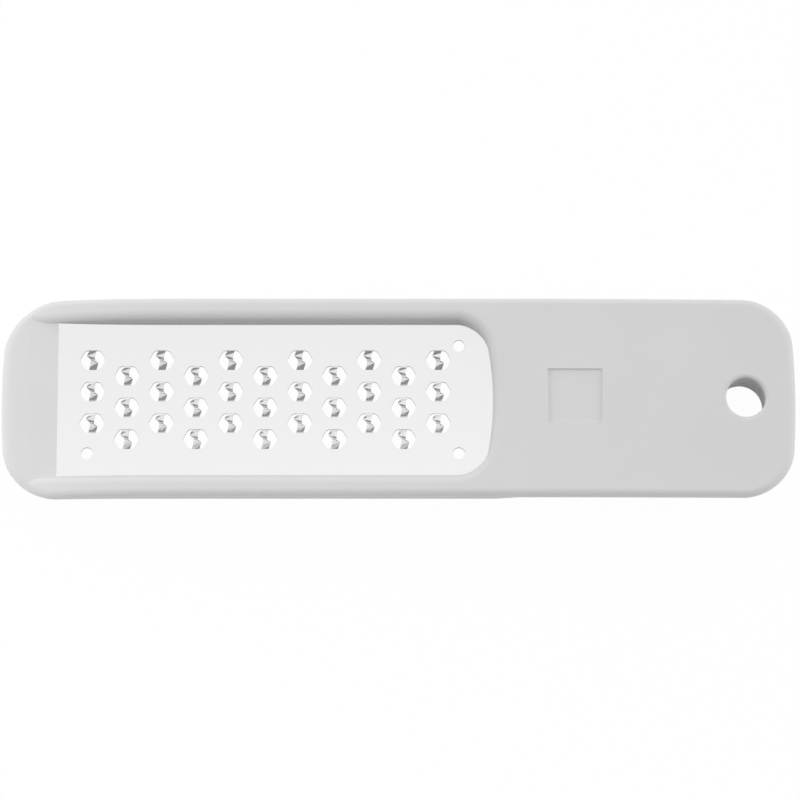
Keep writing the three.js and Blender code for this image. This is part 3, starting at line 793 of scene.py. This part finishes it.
def satin_steel():
    """Bright stainless sheet with a faint rolled grain along its length, and a painted reflection that makes
    it a little paler towards -Y.
    Its cut edges are dull, and painted shade makes them darker still."""
    material = new_finish("satin_steel")
    tree = material.node_tree
    place = tree.nodes.new("ShaderNodeTexCoord")
    stretch = tree.nodes.new("ShaderNodeMapping")
    feed(tree, stretch.inputs["Vector"], place.outputs["Object"])
    feed(tree, stretch.inputs["Scale"], ROLLED_GRAIN_STRETCH)
    grain = add_noise(tree, stretch.outputs["Vector"], ROLLED_GRAIN_SCALE, ROLLED_GRAIN_DETAIL)
    y = add_parts(tree, place.outputs["Object"])["Y"]
    # Painted reflection: the sheet's colour is made paler towards -Y across the plate, standing in for a
    # brighter reflection there
    painted_reflection_share = add_share(tree, y, EXPOSED_HALF_WIDTH, -EXPOSED_HALF_WIDTH)
    grain_and_painted_reflection = add_mix(tree, STEEL_PAINTED_REFLECTION_SHARE, grain, painted_reflection_share)
    face_colour = add_mix(tree, grain_and_painted_reflection, STEEL_DARK, STEEL_LIGHT, "RGBA")
    face_roughness = add_mix(tree, grain, STEEL_LEAST_ROUGH, STEEL_MOST_ROUGH)

    upright = add_step(tree, "ABSOLUTE", add_parts(tree, place.outputs["Normal"])["Z"])
    # Painted shade: the upright cut edges of the sheet get a darker colour than their dullness alone gives, as
    # shade round the openings
    rolled_unshaded_share = add_share(tree, upright, SHEARED_AND_SHADED_FACING, ROLLED_FACING)
    colour = add_mix(tree, rolled_unshaded_share, SHEARED_AND_PAINTED_SHADE_COLOUR, face_colour, "RGBA")
    roughness = add_mix(tree, rolled_unshaded_share, SHEARED_ROUGHNESS, face_roughness)
    normal = add_bump(tree, grain, ROLLED_GRAIN_STRENGTH, ROLLED_GRAIN_DEPTH)

    shader = tree.nodes["Principled BSDF"]
    feed(tree, shader.inputs["Metallic"], 1)
    feed(tree, shader.inputs["Base Color"], colour)
    feed(tree, shader.inputs["Roughness"], roughness)
    feed(tree, shader.inputs["Normal"], normal)
    return material


def dress(piece, node, finish):
    """Gives a piece its normals and finish, and lets it stand for its CAD node."""
    piece.data.shade_smooth()
    piece.data.set_sharp_from_angle(angle=SMOOTH_ANGLE)
    normals = piece.modifiers.new("weighted_normals", "WEIGHTED_NORMAL")
    normals.keep_sharp = True
    piece.data.materials.clear()
    piece.data.materials.append(finish)
    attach(piece, "root")
    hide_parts(node)


# Light, floor and camera

# Camera
SENSOR_WIDTH = 36  # millimetres, as lenses are
CAMERA_DISTANCE = 0.9
CAMERA_TILT = math.radians(11.92)  # from straight above, towards the near side
CAMERA_AIM = Vector((0.00046, -0.00092, HEIGHT))
FIELD_WIDTH = 0.16038  # what the picture's width covers at the aim

# Floor
FLOOR_HALF_SIZE = 20.0
FLOOR_COLOUR = (0.95, 0.95, 0.95, 1)
FLOOR_WHITE_SHARE = 0.97  # the rest is the light that falls on it

# Sky
SKY_COLOUR = (1, 1, 1, 1)
OVERHEAD_RADIANCE = 0.62
OVERHEAD_FROM = 0.5  # height on the unit sky where the overhead light starts
OVERHEAD_FULL = 0.9
SIDE_LIGHT_POWER = 2  # how fast a side's light fades
SEEN_RADIANCE_LEAST = 0.3  # limits of what the camera and reflections see of it
SEEN_RADIANCE_MOST = 1.0


class SideLight(NamedTuple):
    """Light from the horizon on one side, which fades upwards and round to the other sides."""
    axis: str
    sign: int
    radiance: float


SIDE_LIGHTS = [
    SideLight("Y", sign=-1, radiance=0.22),
    SideLight("Y", sign=1, radiance=1.55),
    SideLight("X", sign=1, radiance=1.9),
]


class Lamp(NamedTuple):
    """A softbox that faces the middle of the object."""
    name: str
    place: tuple
    width: float
    height: float
    power: float
    reflected: bool  # whether it shows in the steel, which a strong lamp would burn out


LAMPS = [
    Lamp("key", place=(-0.7, 0, 0.3), width=0.4, height=0.4, power=3.2, reflected=False),
    Lamp("overhead", place=(-0.12, -0.05, 0.7), width=0.5, height=0.5, power=0.23, reflected=True),
]


def seen_directly(tree):
    """1 where something is seen by the camera, or in or through something shiny.
    0 where it only gives light."""
    rays = tree.nodes.new("ShaderNodeLightPath")
    shiny = add_step(tree, "MAXIMUM", rays.outputs["Is Glossy Ray"], rays.outputs["Is Transmission Ray"])
    return add_step(tree, "MAXIMUM", rays.outputs["Is Camera Ray"], shiny)


def add_lamp(lamp):
    light = bpy.data.lights.new(lamp.name, "AREA")
    light.shape = "RECTANGLE"
    light.size = lamp.width
    light.size_y = lamp.height
    light.energy = lamp.power
    softbox = bpy.data.objects.new(lamp.name, light)
    softbox.visible_glossy = lamp.reflected
    softbox.location = lamp.place
    softbox.rotation_euler = (-Vector(lamp.place)).to_track_quat("-Z", "Y").to_euler()
    bpy.context.scene.collection.objects.link(softbox)


def add_sky():
    """A studio that is bright overhead and has its own brightness at the horizon on each side.
    What is seen of it is limited, so that the steel is not burnt out from low down."""
    world = bpy.data.worlds.new("studio")
    bpy.context.scene.world = world
    world.use_nodes = True
    tree = world.node_tree
    direction = add_parts(tree, tree.nodes.new("ShaderNodeTexCoord").outputs["Generated"])
    overhead = add_share(tree, direction["Z"], OVERHEAD_FROM, OVERHEAD_FULL, "SMOOTHSTEP")
    light = add_step(tree, "MULTIPLY", overhead, OVERHEAD_RADIANCE)
    for side in SIDE_LIGHTS:
        towards = add_step(tree, "MULTIPLY", direction[side.axis], side.sign)
        share = add_step(tree, "POWER", add_step(tree, "MAXIMUM", towards, 0), SIDE_LIGHT_POWER)
        light = add_step(tree, "ADD", add_step(tree, "MULTIPLY", share, side.radiance), light)
    seen = add_step(tree, "MAXIMUM", light, SEEN_RADIANCE_LEAST)
    seen = add_step(tree, "MINIMUM", seen, SEEN_RADIANCE_MOST)
    background = tree.nodes["Background"]
    feed(tree, background.inputs["Color"], SKY_COLOUR)
    feed(tree, background.inputs["Strength"], add_mix(tree, seen_directly(tree), light, seen))


def white_floor():
    """White where it is seen, with a faint share of the real light so that a shadow is left."""
    material = new_finish("white_floor")
    tree = material.node_tree
    tree.nodes.remove(tree.nodes["Principled BSDF"])
    lit = tree.nodes.new("ShaderNodeBsdfDiffuse")
    feed(tree, lit.inputs["Color"], FLOOR_COLOUR)
    white = tree.nodes.new("ShaderNodeEmission")
    mix = tree.nodes.new("ShaderNodeMixShader")
    feed(tree, mix.inputs["Fac"], add_step(tree, "MULTIPLY", seen_directly(tree), FLOOR_WHITE_SHARE))
    feed(tree, mix.inputs[1], lit.outputs["BSDF"])
    feed(tree, mix.inputs[2], white.outputs["Emission"])
    feed(tree, tree.nodes["Material Output"].inputs["Surface"], mix.outputs["Shader"])
    return material


def add_floor():
    reach = FLOOR_HALF_SIZE
    corners = [(x, y, 0) for x, y in rectangle(-reach, -reach, reach, reach)]
    floor = as_object("floor", Solid(corners, [[0, 1, 2, 3]]))
    floor.data.materials.append(white_floor())


def add_camera():
    back = Vector((0, -math.sin(CAMERA_TILT), math.cos(CAMERA_TILT)))
    data = bpy.data.cameras.new("camera")
    data.sensor_width = SENSOR_WIDTH
    data.lens = SENSOR_WIDTH * CAMERA_DISTANCE / FIELD_WIDTH
    camera = bpy.data.objects.new("camera", data)
    camera.location = CAMERA_AIM + back * CAMERA_DISTANCE
    camera.rotation_euler = (-back).to_track_quat("-Z", "Y").to_euler()
    bpy.context.scene.collection.objects.link(camera)
    bpy.context.scene.camera = camera


bpy.context.scene.view_settings.view_transform = "Standard"
plastic = moulded_plastic()
dress(upper_shell(), "upper_shell", plastic)
dress(lower_shell(), "lower_shell", plastic)
dress(grating_plate(), "grating_plate", satin_steel())
add_floor()
add_sky()
for lamp in LAMPS:
    add_lamp(lamp)
add_camera()
